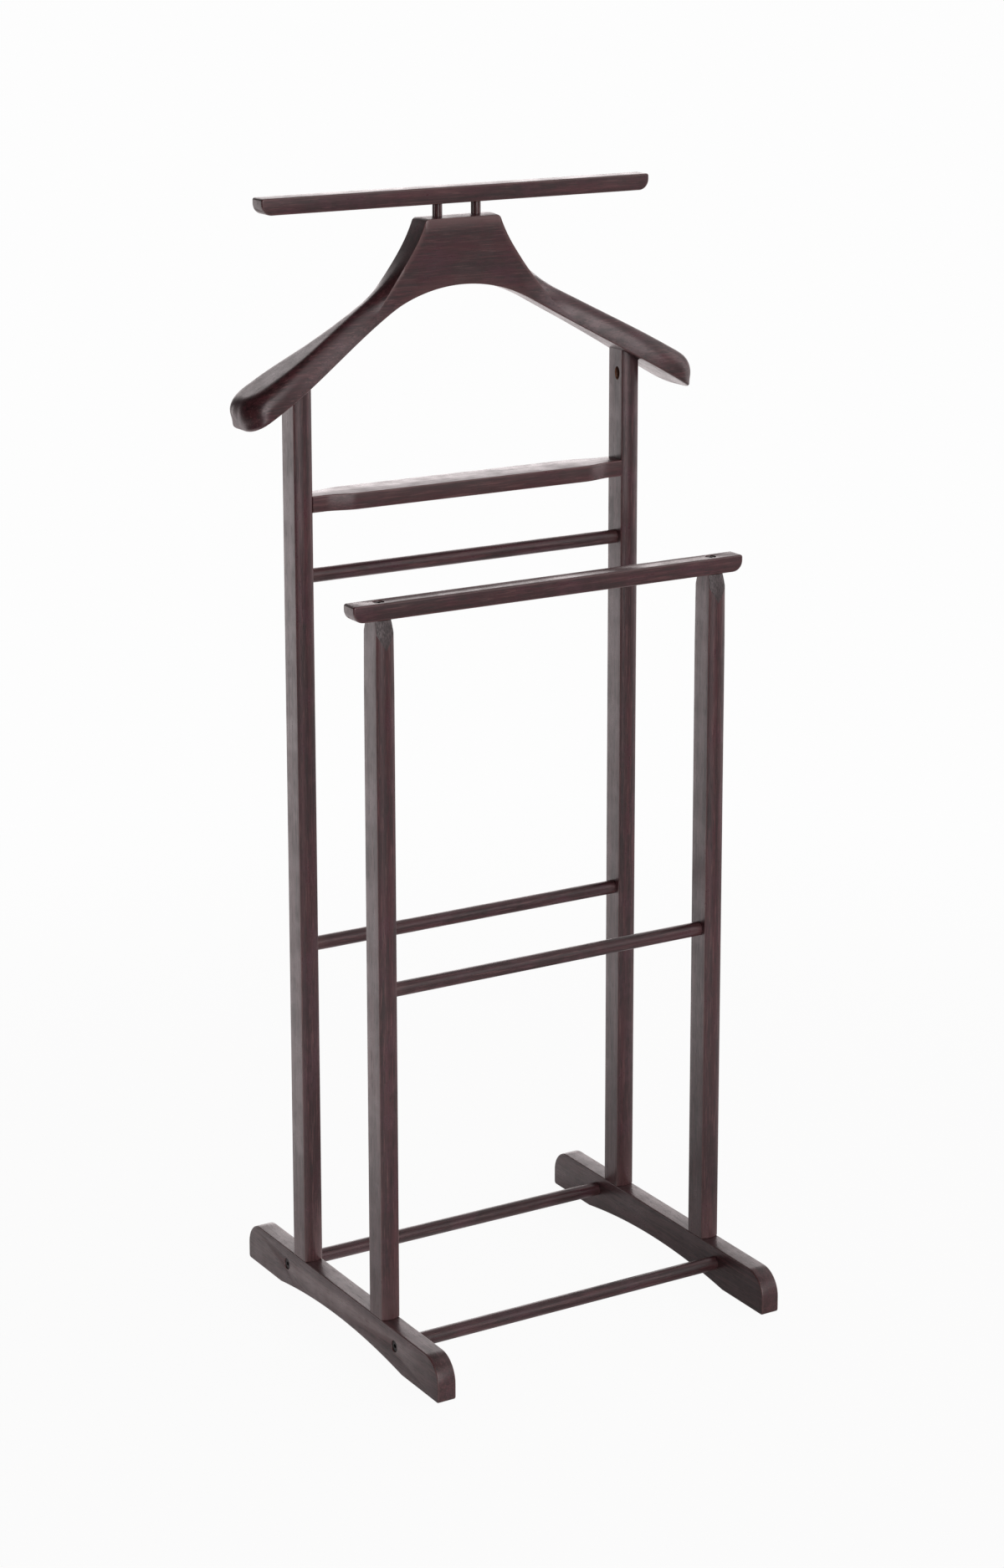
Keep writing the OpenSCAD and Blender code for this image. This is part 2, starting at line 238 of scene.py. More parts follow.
def lacquer(name, axis, seed, gloss=0.5):
    """Espresso stain under satin lacquer, with the grain along one axis."""
    m = Nodes(name)
    shift = seed_shift(seed)
    streaks = m.noise(m.place(grain_scale(axis, 190, 9), shift), 5, 0.62, 0.3)
    bands = m.noise(m.place(grain_scale(axis, 48, 3.2), shift), 3, 0.55, 0.5)
    fibres = m.noise(m.place(grain_scale(axis, 760, 30), shift), 3, 0.6)
    pores = m.range(m.noise(m.place(grain_scale(axis, 1300, 80), shift), 1, 0.5), 0.58, 0.70)
    blotches = m.noise(m.place((34, 34, 34), shift), 4, 0.62)
    specks = m.noise(m.place((420, 420, 420), shift), 2, 0.5)
    edge_mark = m.attribute("edge")

    color = m.mix(m.range(streaks, 0.36, 0.66), (0.014, 0.0036, 0.0046, 1), (0.060, 0.0195, 0.0230, 1))
    color = m.mix(m.range(bands, 0.40, 0.64, 0, 0.6), color, (0.026, 0.0070, 0.0082, 1))
    color = m.mix(m.range(blotches, 0.46, 0.68, 0, 0.65), color, (0.060, 0.0235, 0.0320, 1))
    color = m.mix(m.range(fibres, 0.52, 0.70, 0, 0.55), color, (0.120, 0.056, 0.056, 1))
    color = m.mix(m.math("MULTIPLY", pores, 0.7), color, (0.007, 0.0018, 0.0022, 1))
    # Convex edges made lighter: partly edge wear, partly a painted highlight, the light line along
    # crisp edges such as the neck's
    color = m.mix(m.math("MULTIPLY", edge_mark, 0.6), color, (0.13, 0.070, 0.068, 1))
    m.link(color, m.shader.inputs["Base Color"])

    rough = m.range(blotches, 0.34, 0.66, 0.40, 0.27)
    rough = m.math("ADD", rough, m.range(streaks, 0.35, 0.7, 0.05, -0.03))
    rough = m.math("ADD", rough, m.math("MULTIPLY", pores, 0.15))
    m.link(rough, m.shader.inputs["Roughness"])

    height = m.math("ADD", m.math("MULTIPLY", fibres, 0.5), m.math("MULTIPLY", streaks, 0.6))
    height = m.math("SUBTRACT", height, m.math("MULTIPLY", pores, 0.5))
    height = m.math("ADD", height, m.math("MULTIPLY", specks, 0.25))
    m.link(m.bump(height, 0.25, 0.00012), m.shader.inputs["Normal"])
    m.shader.inputs["IOR"].default_value = 1.5
    m.shader.inputs["Specular IOR Level"].default_value = gloss
    m.shader.inputs["Coat Weight"].default_value = 0.4 * gloss
    m.shader.inputs["Coat Roughness"].default_value = 0.2
    return m.mat


def end_grain(name, seed):
    """The same stain where the wood is cut across its fibres: speckled and rougher."""
    m = Nodes(name)
    shift = seed_shift(seed)
    cells = m.noise(m.place((1100, 1100, 260), shift), 2, 0.5)
    rays = m.noise(m.place((420, 420, 60), shift), 3, 0.6)
    color = m.mix(m.range(cells, 0.40, 0.64), (0.010, 0.006, 0.006, 1), (0.060, 0.045, 0.047, 1))
    color = m.mix(m.range(rays, 0.35, 0.7, 0, 0.5), color, (0.034, 0.022, 0.024, 1))
    m.link(color, m.shader.inputs["Base Color"])
    m.link(m.range(cells, 0.3, 0.7, 0.55, 0.36), m.shader.inputs["Roughness"])
    m.link(m.bump(m.math("ADD", cells, rays), 0.5, 0.0003), m.shader.inputs["Normal"])
    return m.mat


def raw_wood(name, axis):
    """Bare hardwood, as in the slanted holes and on the hidden dowels."""
    m = Nodes(name)
    streaks = m.noise(m.place(grain_scale(axis, 420, 22), (0, 0, 0)), 4, 0.6)
    pores = m.noise(m.place(grain_scale(axis, 1600, 90), (5, 2, 1)), 1, 0.5)
    color = m.mix(m.range(streaks, 0.35, 0.68), (0.11, 0.048, 0.027, 1), (0.20, 0.094, 0.050, 1))
    color = m.mix(m.range(pores, 0.6, 0.7, 0, 0.5), color, (0.10, 0.04, 0.02, 1))
    m.link(color, m.shader.inputs["Base Color"])
    m.link(m.range(streaks, 0.3, 0.7, 0.55, 0.75), m.shader.inputs["Roughness"])
    m.link(m.bump(m.math("SUBTRACT", streaks, pores), 0.35, 0.0003), m.shader.inputs["Normal"])
    return m.mat


def black_oxide(name):
    """Blackened steel: a thin oxide with faint rubbed patches."""
    m = Nodes(name)
    patches = m.noise(m.place((380, 380, 380), (1, 4, 2)), 4, 0.6)
    grit = m.noise(m.place((2600, 2600, 2600), (0, 0, 0)), 2, 0.5)
    edge_mark = m.attribute("edge")
    color = m.mix(m.range(patches, 0.4, 0.7), (0.012, 0.012, 0.013, 1), (0.032, 0.031, 0.031, 1))
    # Rubbed edges show lighter steel
    color = m.mix(m.math("MULTIPLY", edge_mark, 0.5), color, (0.14, 0.135, 0.13, 1))
    m.link(color, m.shader.inputs["Base Color"])
    m.link(m.range(patches, 0.3, 0.7, 0.32, 0.5), m.shader.inputs["Roughness"])
    m.link(m.bump(grit, 0.2, 0.0001), m.shader.inputs["Normal"])
    m.shader.inputs["Metallic"].default_value = 0.8
    return m.mat


# ---- Mesh tools ------------------------------------------------------------


def link_object(name, data):
    obj = bpy.data.objects.new(name, data)
    scene.collection.objects.link(obj)
    return obj


def face_width(face, edge):
    a, b = (v.co for v in edge.verts)
    along = (b - a).normalized()
    return max((v.co - a - along * (v.co - a).dot(along)).length for v in face.verts)


def finish_mesh(mesh, sharp=28):
    """Turns faces outwards, shades them smooth up to sharp degrees, and marks sharply bent convex
    edges.
    """
    same_point = 1e-6
    narrowest = 0.35  # a face counts as at least this wide, in millimetres
    no_edge_mark, edge_mark = 0.22, 0.95  # bend of the surface, in radians per millimetre
    bm = bmesh.new()
    bm.from_mesh(mesh)
    bmesh.ops.remove_doubles(bm, verts=bm.verts, dist=same_point)
    bmesh.ops.recalc_face_normals(bm, faces=bm.faces)
    layer = bm.verts.layers.float.new("edge")
    for v in bm.verts:
        bend = 0.0
        for e in v.link_edges:
            if len(e.link_faces) == 2 and e.calc_face_angle_signed(0) > 0:
                width = min(face_width(f, e) for f in e.link_faces)
                bend = max(bend, e.calc_face_angle_signed(0) / max(width / MM, narrowest))
        v[layer] = smooth(no_edge_mark, edge_mark, bend)
    for f in bm.faces:
        f.smooth = True
    for e in bm.edges:
        e.smooth = not (len(e.link_faces) == 2 and e.calc_face_angle(0) > math.radians(sharp))
    bm.to_mesh(mesh)
    bm.free()


def new_piece(name, node, verts, faces, mats, pick=None, sharp=28):
    """A finer mesh in the place of a CAD node; pick chooses the material of each face."""
    mesh = bpy.data.meshes.new(name)
    mesh.from_pydata([Vector(v) * MM for v in verts], [], faces)
    finish_mesh(mesh, sharp)
    obj = link_object(name, mesh)
    for m in mats:
        mesh.materials.append(m)
    if pick:
        for p in mesh.polygons:
            p.material_index = pick(p.center / MM, p.normal)
    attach(obj, "root")
    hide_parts(node)
    return obj


def ring_faces(count, size, closed_ends=True):
    """Faces between rings of as many points each, and over the first and the last ring."""
    faces = []
    for i in range(count - 1):
        for j in range(size):
            k = (j + 1) % size
            faces.append((i * size + j, i * size + k, (i + 1) * size + k, (i + 1) * size + j))
    if closed_ends:
        faces.append(tuple(range(size - 1, -1, -1)))
        faces.append(tuple(range((count - 1) * size, count * size)))
    return faces


def loft(rings):
    """Points and faces of the closed skin over a list of rings."""
    return [p for ring in rings for p in ring], ring_faces(len(rings), len(rings[0]))


def carve(obj, cutters):
    """Cuts closed meshes out of a piece and keeps the result as its mesh."""
    for verts, faces, mat in cutters:
        mesh = bpy.data.meshes.new("cutter")
        mesh.from_pydata([Vector(v) * MM for v in verts], [], faces)
        finish_mesh(mesh)
        tool = link_object("cutter", mesh)
        mesh.materials.append(mat)
        mod = obj.modifiers.new("carve", "BOOLEAN")
        mod.operation, mod.solver, mod.object = "DIFFERENCE", "EXACT", tool
        mod.material_mode = "TRANSFER"
        graph = bpy.context.evaluated_depsgraph_get()
        new = bpy.data.meshes.new_from_object(obj.evaluated_get(graph))
        obj.modifiers.clear()
        old, obj.data = obj.data, new
        bpy.data.meshes.remove(old)
        bpy.data.objects.remove(tool)
        bpy.data.meshes.remove(mesh)
    finish_mesh(obj.data)


def lathe(profile, at, axis, segments=40):
    """A closed turned shape from (radius, height) points, its heights along axis from a point."""
    turn = Vector((0, 0, 1)).rotation_difference(Vector(axis).normalized())
    rings = []
    for r, h in profile:
        rings.append([
            Vector(at) + turn @ Vector((r * math.cos(a), r * math.sin(a), h))
            for a in (2 * math.pi * k / segments for k in range(segments))
        ])
    return loft(rings)


def fillet_outline(corners, steps):
    """A closed outline from (u, v, radius) corners, as points with their outward normals."""
    pts = []
    n = len(corners)
    for i, (u, v, r) in enumerate(corners):
        p = Vector((u, v))
        a = (Vector(corners[i - 1][:2]) - p).normalized()
        b = (Vector(corners[(i + 1) % n][:2]) - p).normalized()
        half = math.acos(max(-1, min(1, a.dot(b)))) / 2
        c = p + (a + b).normalized() * (r / math.sin(half))
        start, end = (p + a * (r / math.tan(half)) - c), (p + b * (r / math.tan(half)) - c)
        a0 = math.atan2(start.y, start.x)
        turn = (math.atan2(end.y, end.x) - a0 + math.pi) % (2 * math.pi) - math.pi
        for k in range(steps + 1):
            t = a0 + turn * k / steps
            d = Vector((math.cos(t), math.sin(t)))
            pts.append((c + d * r, d))
    return pts


def plate(outline, lo, hi, edge_r, to_xyz, steps=5):
    """A flat board: its outline pushed from lo to hi, with its edges rounded."""
    turns = [math.pi / 2 * k / steps for k in range(steps + 1)]
    rings = [(lo + edge_r - edge_r * math.cos(a), edge_r - edge_r * math.sin(a)) for a in turns]
    rings += [(hi - edge_r + edge_r * math.sin(a), edge_r - edge_r * math.cos(a)) for a in turns]
    return loft([[to_xyz(p - n * inset, w) for p, n in outline] for w, inset in rings])


AXIS_GAP = 0.01  # turned shapes start just off their axis


def drill(mouth_r, rim, depth):
    """The profile of a drilled hole, from above its mouth, over its worn rim, to its floor."""
    return [(AXIS_GAP, -1), (mouth_r, -1), (mouth_r, 0), *rim, (RECESS_R, depth), (AXIS_GAP, depth)]


# ---- Feet ------------------------------------------------------------------


def foot_outline():
    """A foot from the side: rounded toes, and an arch between its two flat pads."""
    half = foot_hi.y
    span = half - FOOT_PAD
    arch_r = (span**2 + FOOT_ARCH_H**2) / (2 * FOOT_ARCH_H)
    pts = fillet_outline([
        (half, 0, HEEL_R), (half, FOOT_TOP, TOE_R), (-half, FOOT_TOP, TOE_R), (-half, 0, HEEL_R)
    ], 14)
    steps = 30
    for k in range(steps + 1):
        y = lerp(-span, span, k / steps)
        z = FOOT_ARCH_H - arch_r + math.sqrt(arch_r**2 - y * y)
        pts.append((Vector((y, z)), Vector((-y, -(z - FOOT_ARCH_H + arch_r))).normalized()))
    return pts


def make_foot(side, node, mat):
    verts, faces = plate(
        foot_outline(), INNER_X, OUTER_X, 1.3, lambda p, w: Vector((side * w, p.x, p.y))
    )
    obj = new_piece(node + "_board", node, verts, faces, [mat])
    recess = drill(5.9, [(5.35, 0.25), (5.05, 0.7), (RECESS_R, 1.2)], 6)
    carve(obj, [
        (*lathe(recess, (side * OUTER_X, y, LOW_ROD_Z), (-side, 0, 0)), mat)
        for y in (-LOW_ROD_Y, LOW_ROD_Y)
    ])


# ---- Posts -----------------------------------------------------------------


def post_columns(depth):
    """The section of a post: flat sides, crowned front and back, eased corners."""
    half, fillet, arc = HALF_W, 0.9, 10
    r = (half**2 + POST_CROWN**2) / (2 * POST_CROWN)
    yc = depth / 2 - r
    fy = yc + math.sqrt((r - fillet) ** 2 - (half - fillet) ** 2)
    turn = math.atan2(fy - yc, half - fillet)
    q = [(half, 0.0), (half, fy * 0.5)]
    for k in range(5):
        a = turn * k / 4
        q.append((half - fillet + fillet * math.cos(a), fy + fillet * math.sin(a)))
    for k in range(1, arc + 1):
        a = lerp(turn, math.pi / 2, k / arc)
        q.append((r * math.cos(a), yc + r * math.sin(a)))
    back = q + [(-x, y) for x, y in reversed(q[:-1])]
    return back + [(x, -y) for x, y in reversed(back[1:-1])]


def post_ends(cols, side, y_mid):
    """The lowest rings of a post, where its edges are eased against the foot."""
    half_d = 13
    return [
        [
            Vector((
                side * (POST_X + x * (1 - inset / HALF_W)), y_mid + y * (1 - inset / half_d),
                FOOT_TOP + rise,
            )) for x, y in cols
        ] for rise, inset in POST_EASE
    ]


def make_back_post(side, node, mat, bare):
    """The top is cut to the slope of the arm above it, and a slanted screw hole enters below."""
    cols = post_columns(post_hi.y - post_lo.y)
    rings = post_ends(cols, side, BACK_Y)
    straight, steps, gap = 780, 12, 0.05
    for k in range(1, steps):
        z = lerp(FOOT_TOP, FOOT_TOP + straight, k / steps)
        rings.append([Vector((side * (POST_X + x), BACK_Y + y, z)) for x, y in cols])
    rings.append([
        Vector((side * (POST_X + x), BACK_Y + y, under_z(POST_X + x) - gap)) for x, y in cols
    ])
    obj = new_piece(node + "_shaft", node, *loft(rings), [mat, bare])
    axis = Vector((side * math.sin(POCKET_A), 0, math.cos(POCKET_A)))
    outside = -9
    bore = [
        (AXIS_GAP, outside), (POCKET_R, outside), (POCKET_R, POCKET_DEPTH), (AXIS_GAP, POCKET_DEPTH)
    ]
    carve(obj, [(*lathe(bore, (side * INNER_X, POCKET_Y, POCKET_Z), axis, 32), bare)])


def make_front_post(side, node, mat, end_mat):
    """The top is cut back in long curves all round, which leaves a U on the crowned faces."""
    depth = fpost_hi.y - fpost_lo.y
    top, run = fpost_hi.z, 26.0
    narrow = (depth - (bar_hi.y - bar_lo.y)) / 2
    cut_crown, side_cut = 1.2, 1.3
    cols = post_columns(depth)

    def cut(z):
        t = max(0.0, z - (top - run)) / run
        return t * t

    def start(x):
        bulge = (POST_CROWN - cut_crown) * min(1.0, abs(x) / HALF_W) ** 2
        return top - run + run * math.sqrt(bulge / narrow)

    rings = post_ends(cols, side, FRONT_Y)
    low = FOOT_TOP + POST_EASE[-1][0]
    crease = depth / 2 - POST_CROWN
    steps = 12
    for k in range(1, 2 * steps + 1):
        ring = []
        for x, y in cols:
            z0 = start(x)
            z = lerp(low, z0, k / steps) if k <= steps else lerp(z0, top, k / steps - 1)
            wide = 1 - side_cut * cut(z) / HALF_W
            limit = depth / 2 - narrow * cut(z) - cut_crown * min(1.0, abs(x) / HALF_W) ** 2
            if abs(y) < crease:
                limit = abs(y) * min(1.0, limit / crease)
            deep = min(abs(y), limit) if k > steps else abs(y)
            ring.append(Vector((
                side * (POST_X + x * wide), FRONT_Y + math.copysign(deep, y), z
            )))
        rings.append(ring)

    def pick(c, n):
        """Cut fibres show on the curved cuts in front and behind."""
        x = (abs(c.x) - POST_X) / HALF_W
        return 1 if abs(n.y) > 0.75 and c.z > start(x * HALF_W) + 0.2 else 0

    new_piece(node + "_shaft", node, *loft(rings), [mat, end_mat], pick=pick, sharp=12)


# ---- Bars and rods ---------------------------------------------------------


def bar_outline(lo, hi):
    x, low, high = hi.x, (lo.z, BAR_END_R), (hi.z, BAR_TOP_R)
    return fillet_outline([(x, *low), (x, *high), (-x, *high), (-x, *low)], 9)


def make_bar(node, name, lo, hi, mats):
    """A bar, whose flat top takes the last of its materials."""
    edge_r = 1.6
    board = plate(bar_outline(lo, hi), lo.y, hi.y, edge_r, lambda p, w: Vector((p.x, w, p.y)))
    return new_piece(name, node, *board, mats, pick=lambda c, n: len(mats) - 1 if n.z > 0.9 else 0)


def make_front_bar(mat, shaded_top):
    # Its flat top takes the less glossy copy of the lacquer, which paints shade on it
    bar = make_bar("front_bar", "front_bar_board", bar_lo, bar_hi, [mat, shaded_top])
    recess = drill(5.7, [(5.2, 0.25), (RECESS_R, 0.7)], 5)
    carve(bar, [
        (*lathe(recess, (side * POST_X, FRONT_Y, bar_hi.z), (0, 0, -1)), mat) for side in (-1, 1)
    ])


def make_rod(node, mat):
    lo, hi = box(node)
    r, ease = (hi.z - lo.z) / 2, 0.8
    y, z = (lo.y + hi.y) / 2, (lo.z + hi.z) / 2
    stations = [(lo.x, r - ease), (lo.x + ease, r)]
    stations += [(lerp(lo.x, hi.x, k / 14), r) for k in range(1, 14)]
    stations += [(hi.x - ease, r), (hi.x, r - ease)]
    rings = [
        [
            Vector((x, y + rr * math.cos(a), z + rr * math.sin(a)))
            for a in (2 * math.pi * k / 56 for k in range(56))
        ] for x, rr in stations
    ]
    new_piece(node + "_turned", node, *loft(rings), [mat])


def make_pegs(mat):
    """Two fluted dowels with eased ends."""
    r, flutes, flute_depth = (peg_hi.y - peg_lo.y) / 2 + 0.05, 12, 0.62
    ends = ((0, 0.86), (1.2, 0.985), (2, 1.0))  # distance from an end, share of the radius
    stations = [(peg_lo.z + rise, share) for rise, share in ends]
    stations.append((lerp(peg_lo.z, peg_hi.z, 0.5), 1.0))
    stations += [(peg_hi.z - rise, share) for rise, share in reversed(ends)]
    verts, faces = [], []
    for side in (-1, 1):
        cx = side * (peg_hi.x - r)
        rings = []
        for z, share in stations:
            ring = []
            for k in range(flutes * 8):
                a = 2 * math.pi * k / (flutes * 8)
                groove = max(0.0, math.cos(flutes * a) - 0.2) / 0.8
                rr = (r - flute_depth * groove**0.7) * share
                ring.append(Vector((cx + rr * math.cos(a), NECK_Y + rr * math.sin(a), z)))
            rings.append(ring)
        v, f = loft(rings)
        faces += [tuple(i + len(verts) for i in face) for face in f]
        verts += v
    new_piece("fluted_pegs", "top_bar_dowels", verts, faces, [mat], sharp=40)


# ---- Tray ------------------------------------------------------------------


def make_tray(mat):
    """A shelf of full depth in the middle, with narrow ends between the posts."""
    half_end, half_mid = TRAY_END / 2, (tray_hi.y - tray_lo.y) / 2
    cy = (tray_lo.y + tray_hi.y) / 2

    def half(x):
        return half_mid - (half_mid - half_end) * smooth(TRAY_FLAT, TRAY_NARROW, abs(x))

    curve = [TRAY_NARROW - k * (TRAY_NARROW - TRAY_FLAT) / 16 for k in range(17)]
    side = [tray_hi.x, *curve, TRAY_FLAT / 2, 0.0]
    side = side + [-x for x in reversed(side[:-1])]
    pts = []
    for x in side:
        slope = slope_at(half, abs(x)) * (1 if x > 0 else -1)
        pts.append((Vector((x, half(x))), Vector((-slope, 1)).normalized()))
    pts[0] = (pts[0][0], Vector((0, 1)))
    pts[-1] = (pts[-1][0], Vector((0, 1)))
    outline = pts + [(-p, -n) for p, n in pts]
    edge_r = 1.2
    board = plate(outline, tray_lo.z, tray_hi.z, edge_r, lambda p, w: Vector((p.x, cy + p.y, w)))
    new_piece("tray_board", "tray", *board, [mat])


# ---- Hanger ----------------------------------------------------------------


def hanger_top_line():
    """Half of the hanger's upper outline, as x, z and the outward normal, from the middle out."""
    hollow = Vector((
        NECK_FOOT_X + HOLLOW_R * math.sin(OVER_A), over_z(NECK_FOOT_X) + HOLLOW_R * math.cos(OVER_A)
    ))
    rc = NECK_CORNER_R
    cz = NECK_TOP - rc
    cx = hollow.x - math.sqrt((HOLLOW_R + rc) ** 2 - (hollow.y - cz) ** 2)
    line = [(lerp(0, cx, k / 8), NECK_TOP, 0.0, 1.0) for k in range(8)]
    end = math.atan2(hollow.y - cz, hollow.x - cx)
    for k in range(9):
        a = lerp(math.pi / 2, end, k / 8)
        line.append((cx + rc * math.cos(a), cz + rc * math.sin(a), math.cos(a), math.sin(a)))
    a0, a1 = end + math.pi, 1.5 * math.pi - OVER_A
    steps = 34
    for k in range(1, steps + 1):
        a = lerp(a0, a1, k / steps)
        line.append((
            hollow.x + HOLLOW_R * math.cos(a), hollow.y + HOLLOW_R * math.sin(a),
            -math.cos(a), -math.sin(a),
        ))
    x_end = TIP_X - TIP_PLAN_R
    steps = 36
    for k in range(1, steps + 1):
        x = lerp(NECK_FOOT_X, x_end, k / steps)
        line.append((x, over_z(x), math.sin(OVER_A), math.cos(OVER_A)))
    return line


def hanger_column(edge, wall, top, lean=0.0):
    """One side of the section: from the underside's edge, up the wall and over the rounding.

    The neck's face is nearly flat up to a crisp edge, and an arm rolls over in an elliptic arc.
    """
    arm, tip = smooth(*TO_ARM, edge.x), smooth(*TO_TIP, edge.x)
    # How far the rounding reaches over the top and down the side
    width = lerp(lerp(13.5, 11.5, arm), 15.0, tip)
    depth = lerp(22.0, 18.0, tip) if wall.y < 0 else lerp(9.0, 13.0, tip)
    neck_drop, crisp, arris = 1.1, 0.5, 0.28
    out = (wall - top * wall.dot(top)).normalized()
    down = Vector((-wall.x * math.sin(lean), -wall.y * math.sin(lean), -math.cos(lean)))
    down = (down - wall * down.dot(wall)).normalized()
    over = []
    for k in range(17):
        t = k / 16
        crowned = edge - out * (width * (1 - t)) + down * (neck_drop * t * t)
        a = t * math.pi / 2
        rounded = edge - out * (width * (1 - math.sin(a))) + down * (depth * (1 - math.cos(a)))
        over.append(lerp(crowned, rounded, arm))
    # The crisp edge of the neck melts into the arm's rounding
    ease = crisp * (1 - arm) + 0.02
    shoulder = over[-1]
    inward = (over[-2] - shoulder).normalized()
    over[-1] = shoulder + inward * ease
    corner = shoulder + (down + inward) * (ease * arris)
    below = shoulder + down * ease
    # Down the wall to the underside, in steps that close in on it
    t = 0.0
    for _ in range(12):
        p = shoulder + down * t
        t += (p.z - under_z(p.x)) / max(0.3, -down.z)
    foot = shoulder + down * t
    if abs(foot.x) < SPRING_X:
        b = (Vector((0, 0, CROWN_Z - ARCH_R)) - Vector((foot.x, 0, foot.z))).normalized()
    else:
        b = Vector((-math.sin(UNDER_A), 0, -math.cos(UNDER_A)))
    rb = lerp(0.8, 2.0, tip)
    c = foot - (wall + b) * (rb / (1 + wall.dot(b)))
    low = []
    for k in range(5):
        a = k / 4 * math.pi / 2
        low.append(c + (b * math.cos(a) + wall * math.sin(a)).normalized() * rb)
    walls = [lerp(low[-1], below, k / 5) for k in range(1, 5)]
    return low + walls + [below, corner] + list(reversed(over))


def hanger_stations():
    """Pairs of front and back sides, from the middle out and round the corners of a tip."""
    stations = []
    for x, z, nx, nz in hanger_top_line():
        pair = []
        top = Vector((nx, 0, nz)).normalized()
        for edge_y, sign in ((front_edge, -1), (back_edge, 1)):
            wall = Vector((-slope_at(edge_y, x) * sign, sign, 0)).normalized()
            pair.append(hanger_column(Vector((x, edge_y(x), z)), wall, top))
        stations.append(pair)
    cx = TIP_X - TIP_PLAN_R
    top = Vector((math.sin(OVER_A), 0, math.cos(OVER_A)))
    steps = 12
    for k in range(1, steps + 1):
        a = math.pi / 2 * k / steps
        pair = []
        for cy, sign in ((ARM_FRONT + TIP_PLAN_R, -1), (ARM_BACK - TIP_PLAN_R, 1)):
            n = Vector((math.sin(a), sign * math.cos(a), 0))
            lean = TIP_LEAN * math.sin(a) ** 2
            wall = Vector((n.x * math.cos(lean), n.y * math.cos(lean), -math.sin(lean)))
            x, y = cx + TIP_PLAN_R * n.x, cy + TIP_PLAN_R * n.y
            pair.append(hanger_column(Vector((x, y, over_z(x))), wall, top, lean))
        stations.append(pair)
    return stations


ACROSS = (0.2, 0.4, 0.6, 0.8)  # points between the two sides, on the top and the underside


def hanger_ring(pair, mirror):
    """A closed section: front side, top, back side, underside."""
    front, back = pair
    upper = [lerp(front[-1], back[-1], t) for t in ACROSS]
    under = [lerp(back[0], front[0], t) for t in ACROSS]
    pts = front + upper + list(reversed(back)) + under
    return [Vector((-p.x if mirror else p.x, p.y, p.z)) for p in pts]


def tip_faces(base, col):
    """The faces that close a tip, between its front column and its back column."""
    gap = len(ACROSS)
    front = [base + i for i in range(col)]
    back = [base + col + gap + (col - 1 - i) for i in range(col)]
    over = [base + col + i for i in range(gap)]
    under = [base + 2 * col + gap + i for i in range(gap)]
    faces = [(front[i], front[i + 1], back[i + 1], back[i]) for i in range(col - 1)]
    return faces + [(front[-1], *over, back[-1]), (back[0], *under, front[0])]


def make_hanger(mat):
    stations = hanger_stations()
    rings = [hanger_ring(pair, True) for pair in reversed(stations[1:])]
    rings += [hanger_ring(pair, False) for pair in stations]
    size, col = len(rings[0]), len(stations[0][0])
    faces = ring_faces(len(rings), size, closed_ends=False)
    for base in (0, (len(rings) - 1) * size):
        faces += tip_faces(base, col)
    verts = [p for ring in rings for p in ring]
    new_piece("hanger_carved", "hanger", verts, faces, [mat], sharp=30)


# ---- The stand -------------------------------------------------------------

bare = raw_wood("bare_wood_z", "Z")
bare_x = raw_wood("bare_wood_x", "X")
steel = black_oxide("black_steel")
ends = end_grain("post_end_grain", 4)

make_foot(-1, "foot_left", lacquer("lacquer_foot_left", "Y", 1))
make_foot(1, "foot_right", lacquer("lacquer_foot_right", "Y", 2))
make_back_post(-1, "back_post_left", lacquer("lacquer_back_left", "Z", 3), bare)
make_back_post(1, "back_post_right", lacquer("lacquer_back_right", "Z", 4), bare)
make_front_post(-1, "front_post_left", lacquer("lacquer_front_left", "Z", 5), ends)
make_front_post(1, "front_post_right", lacquer("lacquer_front_right", "Z", 6), ends)
make_hanger(lacquer("lacquer_hanger", "X", 7))
make_bar("top_bar", "top_bar_board", top_lo, top_hi, [lacquer("lacquer_top_bar", "X", 8)])
# The front bar's top takes a less glossy copy of the same lacquer: painted shade that keeps its
# reflection dark
make_front_bar(
    lacquer("lacquer_front_bar", "X", 9), lacquer("lacquer_front_bar_shaded_top", "X", 9, gloss=0.15)
)
make_pegs(lacquer("lacquer_pegs", "Z", 10))
make_tray(lacquer("lacquer_tray", "X", 11))
rods = ("upper_back_rod", "mid_back_rod", "mid_front_rod", "bottom_back_rod", "bottom_front_rod")
for seed, node in enumerate(rods, 12):
    make_rod(node, lacquer("lacquer_" + node, "X", seed))


def dress(node, mat, ease):
    """Gives a CAD node its material and eased edges, in millimetres."""
    obj = bpy.data.objects[node]
    for slot in obj.material_slots:
        slot.link = "OBJECT"
        slot.material = mat
    weld = obj.modifiers.new("weld", "WELD")
    weld.merge_threshold = 0.01 * MM
    bevel = obj.modifiers.new("ease", "BEVEL")
    bevel.width, bevel.segments, bevel.limit_method = ease * MM, 2, "ANGLE"
    bevel.angle_limit = math.radians(40)


dress("foot_bolts", steel, 0.3)
for node in ("front_bar_screws", "post_screws", "hanger_screws"):
    dress(node, steel, 0.25)
dress("post_dowels", bare, 0.5)
dress("tray_dowels", bare_x, 0.4)

# ---- Floor, light and camera -----------------------------------------------

WHITE = 0.983  # the pale floor and backdrop as the camera sees them
WARMTH = (1.0, 0.925, 0.93, 1)
FLOOR_R = 1.7
# Zones of the floor as they light the stand: inner and outer radius, half, brightness
FLOOR_ZONES = (
    (0.0, 0.45, "back", 0.56), (0.45, 1.0, "back", 1.20), (1.0, 1.7, "back", 1.25),
    (0.0, 0.45, "front", 0.22), (0.45, 1.0, "front", 0.42), (1.0, 1.7, "front", 0.15),
)
